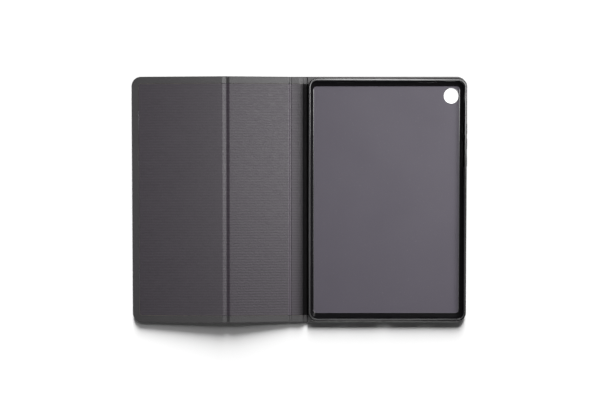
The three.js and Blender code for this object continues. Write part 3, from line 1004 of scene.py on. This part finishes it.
def tray_rings(sizes):
    half_x = (TRAY_HIGH.x - TRAY_LOW.x) / 2
    half_y = (TRAY_HIGH.y - TRAY_LOW.y) / 2
    rings = []
    for inset, height, inside in TRAY_SECTION:
        inset = inset / 1000
        radius = max(sizes.corner_radius - inset, 0.0008)
        extra = inside * sizes.end_wall_extra
        rings.append((half_x - inset, half_y - inset - extra, radius, height / 1000))
    return rings


def slot_cutter(centre, length, height, along):
    """A slot with round ends that cuts through a wall; along is the axis of its length."""
    if along == "x":
        size = Vector((length / 2, WALL_REACH, height / 2))
        through = 1
    else:
        size = Vector((WALL_REACH, length / 2, height / 2))
        through = 0
    cutter = block("cutter", centre - size, centre + size)
    edit(cutter)
    pick("EDGE", lambda e: abs(e.verts[0].co[through] - e.verts[1].co[through]) > WALL_REACH)
    bpy.ops.mesh.bevel(offset=height / 2 * 0.96, segments=8, affect="EDGES")
    leave_edit()
    return cutter


def carve(piece, cutter):
    """Cuts the cutter's shape out of the piece and removes the cutter."""
    modifier(piece, "BOOLEAN", operation="DIFFERENCE", object=cutter, solver="EXACT")
    bpy.data.objects.remove(cutter)


def round_cutter(centre, rings):
    """A round solid about an upright line through the centre; rings are (radius, height), lowest first."""
    clear_selection()
    radius, height = rings[0]
    place = (centre.x, centre.y, height)
    bpy.ops.mesh.primitive_circle_add(vertices=96, radius=radius, fill_type="NGON", location=place)
    cutter = bpy.context.object
    bpy.ops.object.transform_apply(location=True, rotation=True, scale=True)
    edit(cutter)
    pick_all()
    for next_radius, next_height in rings[1:]:
        bpy.ops.mesh.extrude_region_move(TRANSFORM_OT_translate={"value": (0, 0, next_height - height)})
        widen = next_radius / radius
        middle = (centre.x, centre.y, next_height)
        bpy.ops.transform.resize(value=(widen, widen, 1), center_override=middle)
        radius, height = next_radius, next_height
    pick_all()
    bpy.ops.mesh.normals_make_consistent(inside=False)
    leave_edit()
    return cutter


def button_rings(half_long, half_high, depth):
    """Rings of one button cover, from its inner face to its domed outer face."""
    radius = half_high * 0.92
    # Inset in mm, and height as a share of the depth.
    shape = (
        (0.0, 0.0),
        (0.0, 0.55),
        (0.05, 0.78),
        (0.18, 0.90),
        (0.42, 0.97),
        (0.75, 1.0),
        (1.15, 1.0),
        (1.45, 0.985),
    )
    return [
        (half_long - inset / 1000, half_high - inset / 1000, radius - inset / 1000, depth * share)
        for inset, share in shape
    ]


# ---------------------------------------------------------------- operators


class FOLIO_OT_skins(bpy.types.Operator):
    """Builds the wrapped skins of the outer panel, inner panel, spine and back"""

    bl_idname = "folio.skins"
    bl_label = "Panel Skins"
    bl_options = {"REGISTER", "UNDO"}

    def execute(self, context):
        groups_ready()
        sizes = context.scene.folio_cover
        colours = context.scene.folio_colours
        panels = (
            ("outer_panel", OUTER_EDGE_X, COVER_FOLD_LEFT_X, "left"),
            ("inner_panel", COVER_FOLD_RIGHT_X, FRONT_FOLD_LEFT_X, None),
            ("spine", FRONT_FOLD_RIGHT_X, BACK_FOLD_LEFT_X, None),
            ("back", BACK_FOLD_RIGHT_X, BACK_EDGE_X, "right"),
        )
        for body, left, right, rounded in panels:
            count = SPINE_COLUMNS if body == "spine" else 1
            piece = wrapped_skin(f"{body}_leather", left, right, sizes, rounded, count)
            wall_up(piece, sizes)
            if body == "back":
                camera_hole_in_skin(piece, camera_centre(), context.scene.folio_tray.camera_radius, sizes)
            if body == "spine":
                press_skin(piece, back_fold_drop, sizes)
            finish_skin(piece, colours)
            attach(piece, body)
            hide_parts(f"{body}_skin")
        return {"FINISHED"}


class FOLIO_OT_fold_skins(bpy.types.Operator):
    """Builds the strips of skin that bend at the three folds"""

    bl_idname = "folio.fold_skins"
    bl_label = "Fold Skins"
    bl_options = {"REGISTER", "UNDO"}

    def execute(self, context):
        groups_ready()
        sizes = context.scene.folio_cover
        colours = context.scene.folio_colours
        for name, left, right, right_body, left_body, drop_at, count in fold_lines():
            piece = wrapped_skin(f"{name}_leather", left, right, sizes, None, count)
            wall_up(piece, sizes)
            press_skin(piece, drop_at, sizes, outer_groove=(left, right))
            finish_skin(piece, colours)
            bend_with(piece)
            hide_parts(f"{name}_skin")
        return {"FINISHED"}


class FOLIO_OT_lining(bpy.types.Operator):
    """Builds the ribbed lining of the panels and of the folds between them"""

    bl_idname = "folio.lining"
    bl_label = "Lining"
    bl_options = {"REGISTER", "UNDO"}

    def execute(self, context):
        groups_ready()
        sizes = context.scene.folio_cover
        colours = context.scene.folio_colours
        # gap holds the painted shade that the lining fades to beside the tray.
        gap = colours.lining_painted_shade
        # The last number is how strongly the ribs and flecks differ in tone.
        light = finish_named("Ribbed lining", make_lining, colours.lining, gap, 0.45)
        # The outer panel gets its own copy, with weaker ribs and its own tone, standing in for how light falls on
        # it: light and dark name the copies for the lit inner panel and the shadier outer panel.
        dark = finish_named("Outer lining", make_lining, colours.lining_as_lit_on_outer_panel, gap, 0.18)
        for name, left, right, right_body, left_body, drop_at, count in fold_lines():
            piece = lining_sheet(f"{name}_cloth", left, right, sizes, None, count)
            press_lining(piece, drop_at, sizes)
            finish_lining(piece, light)
            # The front fold's lining gets the painted highlight along its creases.
            if name == "front_fold":
                store_rubbing_and_highlight(piece, crease_highlight_and_wear)
            bend_with(piece)
            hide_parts(f"{name}_lining")
        panels = (
            ("outer_panel", OUTER_EDGE_X + LINING_INSET, COVER_FOLD_LEFT_X, "left", dark, ["cover_fold"]),
            ("inner_panel", COVER_FOLD_RIGHT_X, FRONT_FOLD_LEFT_X, None, light, ["front_fold"]),
            ("spine", FRONT_FOLD_RIGHT_X, BACK_FOLD_LEFT_X, None, light, ["back_fold"]),
            ("back", BACK_FOLD_RIGHT_X, BACK_EDGE_X - LINING_INSET, "right", light, []),
        )
        for body, left, right, rounded, material, beside in panels:
            count = SPINE_COLUMNS if body == "spine" else 1
            piece = lining_sheet(f"{body}_cloth", left, right, sizes, rounded, count)
            if body == "spine":
                press_lining(piece, back_fold_drop, sizes)
            if body == "back":
                radius = context.scene.folio_tray.camera_radius + sizes.skin_thickness * 1.5
                carve(piece, round_cutter(camera_centre(), ((radius, 0.0), (radius, 2 * PANEL_THICKNESS))))
            finish_lining(piece, material)
            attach(piece, body)
            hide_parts(f"{body}_lining")
        return {"FINISHED"}


def opening_middle(name):
    """The middle of an opening that the record names."""
    openings = frame["record"]["physics"]["openings"]
    low, high = next(opening["box_m"] for opening in openings if opening["name"] == name)
    return (Vector(low) + Vector(high)) / 2


def camera_centre():
    middle = opening_middle("camera_window")
    return Vector((middle.x, middle.y, 0))


class FOLIO_OT_tray(bpy.types.Operator):
    """Builds the flexible tray with its rolled lip, frosted floor and wall openings"""

    bl_idname = "folio.tray"
    bl_label = "Tray"
    bl_options = {"REGISTER", "UNDO"}

    def execute(self, context):
        groups_ready()
        sizes = context.scene.folio_tray
        colours = context.scene.folio_colours
        tray = ring_stack("tray_moulding", tray_rings(sizes))
        wall = finish_named("Glossy tray wall", make_moulded, colours.tray_wall, *TRAY_WALL)
        floor = finish_named("Frosted tray floor", make_moulded, colours.tray_floor, *TRAY_FLOOR)
        tray.data.materials.append(wall)
        tray.data.materials.append(floor)
        half_x = (TRAY_HIGH.x - TRAY_LOW.x) / 2
        floor_half_x = half_x - FLOOR_FROM_INSET / 1000
        for face in tray.data.polygons:
            reach = max(abs(tray.data.vertices[i].co.x) for i in face.vertices)
            if face.normal.z > 0.9 and face.center.z < 0.002 and reach < floor_half_x:
                face.material_index = 1
        modifier(tray, "SUBSURF", levels=2, render_levels=2)
        tray.data.transform(Matrix.Translation((TRAY_CENTRE.x, TRAY_CENTRE.y, TRAY_LOW.z)))
        self.open_walls(tray, sizes)
        smooth(tray, 35)
        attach(tray, "back")
        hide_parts("tray_shell")
        return {"FINISHED"}

    def open_walls(self, tray, sizes):
        """Cuts the slots, the port, the button holes and the camera window."""
        slot_z = TRAY_LOW.z + sizes.opening_base + sizes.speaker_height / 2
        port_z = TRAY_LOW.z + sizes.opening_base + sizes.port_height / 2
        slots = []
        for wall_y in (-TRAY_HIGH.y, TRAY_HIGH.y):
            for offset in (-sizes.speaker_offset, sizes.speaker_offset):
                centre = (TRAY_CENTRE.x + offset, wall_y, slot_z)
                slots.append((centre, sizes.speaker_length, sizes.speaker_height, "x"))
        centre = (opening_middle("port_cutout").x, TRAY_LOW.y, port_z)
        slots.append((centre, sizes.port_length, sizes.port_height, "x"))
        centre = (TRAY_HIGH.x, sizes.card_offset, slot_z)
        slots.append((centre, sizes.card_length, sizes.speaker_height, "y"))
        for low, high in ((POWER_LOW, POWER_HIGH), (VOLUME_LOW, VOLUME_HIGH)):
            centre = (TRAY_HIGH.x, (low.y + high.y) / 2, (low.z + high.z) / 2)
            spare = 2 * BUTTON_CLEARANCE
            slots.append((centre, high.y - low.y + spare, high.z - low.z + spare, "y"))
        for centre, length, height, along in slots:
            carve(tray, slot_cutter(Vector(centre), length, height, along))
        top = TRAY_LOW.z + sizes.floor_thickness
        radius = sizes.camera_radius
        wide = radius + WINDOW_BEVEL
        window = ((radius, 0.0), (radius, top - WINDOW_BEVEL), (wide, top), (wide, top + WINDOW_BEVEL))
        carve(tray, round_cutter(camera_centre(), window))


class FOLIO_OT_buttons(bpy.types.Operator):
    """Builds the power and volume button covers in the tray's right wall"""

    bl_idname = "folio.buttons"
    bl_label = "Button Covers"
    bl_options = {"REGISTER", "UNDO"}

    def execute(self, context):
        groups_ready()
        colours = context.scene.folio_colours
        material = finish_named("Button plastic", make_moulded, colours.button, *BUTTON)
        covers = (
            ("power_button", POWER_LOW, POWER_HIGH, False),
            ("volume_button", VOLUME_LOW, VOLUME_HIGH, True),
        )
        for body, low, high, rocker in covers:
            middle = (low + high) / 2
            half_long = (high.y - low.y) / 2
            half_high = (high.z - low.z) / 2
            cover = ring_stack(f"{body}_shell", button_rings(half_long, half_high, high.x - low.x))
            if rocker:
                self.dip(cover, half_long)
            modifier(cover, "SUBSURF", levels=2, render_levels=2)
            # The stack grows up its own Z; here that is the way out of the wall.
            out_of_wall = Matrix(((0, 0, 1, low.x), (1, 0, 0, middle.y), (0, 1, 0, middle.z), (0, 0, 0, 1)))
            cover.data.transform(out_of_wall)
            smooth(cover, 60)
            dress(cover, material)
            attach(cover, body)
            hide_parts(f"{body}_cover")
        return {"FINISHED"}

    def dip(self, cover, half_long):
        """Lowers the middle of the rocker, so that its two ends stand up."""
        edit(cover)
        for share in (-0.5, -0.3, -0.15, 0.0, 0.15, 0.3, 0.5):
            cut(share * half_long)
        leave_edit()
        outermost = max(v.co.z for v in cover.data.vertices)
        for vertex in cover.data.vertices:
            near = 1 - ease(abs(vertex.co.x) / (half_long * 0.42))
            if vertex.co.z > outermost * 0.7:
                vertex.co.z -= ROCKER_DIP * near
        cover.data.update()


class FOLIO_OT_inside(bpy.types.Operator):
    """Gives the boards, magnets and glue sheet inside the case their finishes"""

    bl_idname = "folio.inside"
    bl_label = "Boards, Magnets and Glue"
    bl_options = {"REGISTER", "UNDO"}

    def execute(self, context):
        groups_ready()
        colours = context.scene.folio_colours
        finishes = (
            ("board", make_board, "Grey board", "board"),
            ("magnet", make_steel, "Plated magnet", "magnet"),
            ("adhesive", make_glue, "Glue sheet", "adhesive"),
        )
        for word, maker, name, slot in finishes:
            for node_name, piece in frame["nodes"].items():
                if word in node_name:
                    dress(piece, finish_named(name, maker, colours))
        return {"FINISHED"}


class FOLIO_OT_stage(bpy.types.Operator):
    """Sets the table, the soft lights and the camera"""

    bl_idname = "folio.stage"
    bl_label = "Stage"
    bl_options = {"REGISTER", "UNDO"}

    def execute(self, context):
        colours = context.scene.folio_colours
        clear_selection()
        bpy.ops.mesh.primitive_plane_add(size=TABLE_SIZE, location=(0, 0, -TABLE_DROP))
        table = context.object
        table.name = "table"
        bpy.ops.object.transform_apply(location=True, rotation=True, scale=True)
        table.data.materials.append(finish_named("Pale table", make_table, colours))
        table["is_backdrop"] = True
        on_case = self.collect("Lit case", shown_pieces())
        on_table = self.collect("Lit table", [table])
        flat = [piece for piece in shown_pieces() if "leather" in piece.name or "cloth" in piece.name]
        flat_parts = self.collect("Flat parts", flat)
        for name, place, size, power in PANEL_LIGHTS:
            self.panel_light(name, place, size, power, on_case)
        # The low sun passes over the tray, so that the tray's own shadow stays as short as the high sun's.
        self.sun("high_table_light", (0.0, 1.0, 0.70), 34, 1.1, on_table, on_case)
        self.sun("low_table_light", (0.0, 1.0, 0.24), 20, 13.0, on_table, flat_parts)
        self.room(context)
        self.camera(context)
        context.scene.view_settings.view_transform = "Standard"
        return {"FINISHED"}

    def collect(self, name, pieces):
        """A collection that lights are linked to; it isn't shown on its own."""
        collection = bpy.data.collections.new(name)
        for piece in pieces:
            collection.objects.link(piece)
        return collection

    def room(self, context):
        """The room itself is dim, but looks white behind the table."""
        world = bpy.data.worlds.new("Studio")
        context.scene.world = world
        world.use_nodes = True
        background = world.node_tree.nodes["Background"]
        background.inputs["Color"].default_value = (1, 1, 1, 1)
        seen = world.node_tree.nodes.new("ShaderNodeLightPath").outputs["Is Camera Ray"]
        strength = spread(world.node_tree, seen, 0.05, 1.0)
        world.node_tree.links.new(strength, background.inputs["Strength"])

    def panel_light(self, name, place, size, power, lit):
        lamp = bpy.data.lights.new(name, "AREA")
        lamp.shape = "RECTANGLE"
        lamp.size, lamp.size_y = size
        lamp.energy = power
        self.stand(name, lamp, place, lit, lit)

    def sun(self, name, place, spread_degrees, strength, lit, blockers):
        lamp = bpy.data.lights.new(name, "SUN")
        lamp.energy = strength
        lamp.angle = math.radians(spread_degrees)
        self.stand(name, lamp, place, lit, blockers)

    def stand(self, name, lamp, place, lit, blockers):
        """Puts a lamp in place, turned to the case; only what is in blockers casts its shadow."""
        holder = bpy.data.objects.new(name, lamp)
        bpy.context.scene.collection.objects.link(holder)
        holder.location = place
        holder.rotation_euler = (-Vector(place)).to_track_quat("-Z", "Y").to_euler()
        holder.light_linking.receiver_collection = lit
        holder.light_linking.blocker_collection = blockers

    def camera(self, context):
        lens = bpy.data.cameras.new("camera")
        lens.sensor_width = SENSOR_WIDTH
        lens.lens = SENSOR_WIDTH * (SEEN_FROM - LOOKED_AT).length / SEEN_WIDTH
        lens.clip_start = 0.01
        lens.clip_end = 50.0
        stand = bpy.data.objects.new("camera", lens)
        context.scene.collection.objects.link(stand)
        stand.location = SEEN_FROM
        lean_back = math.atan2(SEEN_FROM.y - LOOKED_AT.y, SEEN_FROM.z - LOOKED_AT.z)
        stand.rotation_euler = (-lean_back, 0, 0)
        context.scene.camera = stand


class FOLIO_PT_sidebar(bpy.types.Panel):
    """Lists the pieces of the case with their sizes and colours"""

    bl_label = "Folio Case"
    bl_idname = "FOLIO_PT_sidebar"
    bl_space_type = "VIEW_3D"
    bl_region_type = "UI"
    bl_category = "Folio Case"

    def draw(self, context):
        layout = self.layout
        for operator in OPERATORS:
            layout.operator(operator.bl_idname)
        for group in (context.scene.folio_cover, context.scene.folio_tray, context.scene.folio_colours):
            box = layout.box()
            for name in group.bl_rna.properties.keys():
                if name not in ("rna_type", "name"):
                    box.prop(group, name)


OPERATORS = (
    FOLIO_OT_skins,
    FOLIO_OT_fold_skins,
    FOLIO_OT_lining,
    FOLIO_OT_tray,
    FOLIO_OT_buttons,
    FOLIO_OT_inside,
    FOLIO_OT_stage,
)
CLASSES = (FolioCoverSizes, FolioTraySizes, FolioColours, *OPERATORS, FOLIO_PT_sidebar)


def register():
    for cls in CLASSES:
        bpy.utils.register_class(cls)
    bpy.types.Scene.folio_cover = bpy.props.PointerProperty(type=FolioCoverSizes)
    bpy.types.Scene.folio_tray = bpy.props.PointerProperty(type=FolioTraySizes)
    bpy.types.Scene.folio_colours = bpy.props.PointerProperty(type=FolioColours)


def unregister():
    del bpy.types.Scene.folio_colours
    del bpy.types.Scene.folio_tray
    del bpy.types.Scene.folio_cover
    for cls in reversed(CLASSES):
        bpy.utils.unregister_class(cls)


def main():
    register()
    bpy.ops.folio.skins()
    bpy.ops.folio.fold_skins()
    bpy.ops.folio.lining()
    bpy.ops.folio.tray()
    bpy.ops.folio.buttons()
    bpy.ops.folio.inside()
    bpy.ops.folio.stage()
    clear_selection()


if __name__ == "__main__":
    main()
